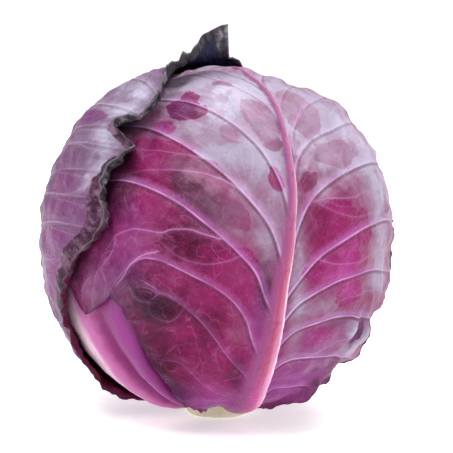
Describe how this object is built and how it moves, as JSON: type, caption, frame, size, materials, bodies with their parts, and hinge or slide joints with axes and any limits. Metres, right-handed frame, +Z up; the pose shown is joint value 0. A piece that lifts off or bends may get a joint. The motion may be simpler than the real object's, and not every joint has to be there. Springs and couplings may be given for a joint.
{
  "type": "red cabbage head",
  "caption": "Round red cabbage head standing on its cut stem, wrapped in ribbed, overlapping leaves with ruffled and rolled margins.",
  "frame": {"origin": "centre of the stem's flat cut face, which the head stands on", "axes": "+Z up from the stem through the head, -Y towards the side with the broad midrib, +X to that side's right"},
  "size_m": [0.1754, 0.1732, 0.1948],
  "materials": {
    "stem": "cut plant stem, dry and fibrous",
    "packed_leaf": "satin leaf skin",
    "young_leaf": "smooth satin leaf skin with pale ribs",
    "back_leaf": "satin leaf skin with waxy bloom",
    "front_leaf": "satin leaf skin with patches of waxy bloom",
    "outer_leaf": "matt leaf skin under waxy bloom"
  },
  "bodies": {
    "root": {"stump": "stem", "ball_of_inner_leaves": "packed_leaf", "inner_leaf": "young_leaf", "back_leaf": "back_leaf", "front_leaf": "front_leaf", "outer_leaf": "outer_leaf"}
  },
  "joints": []
}
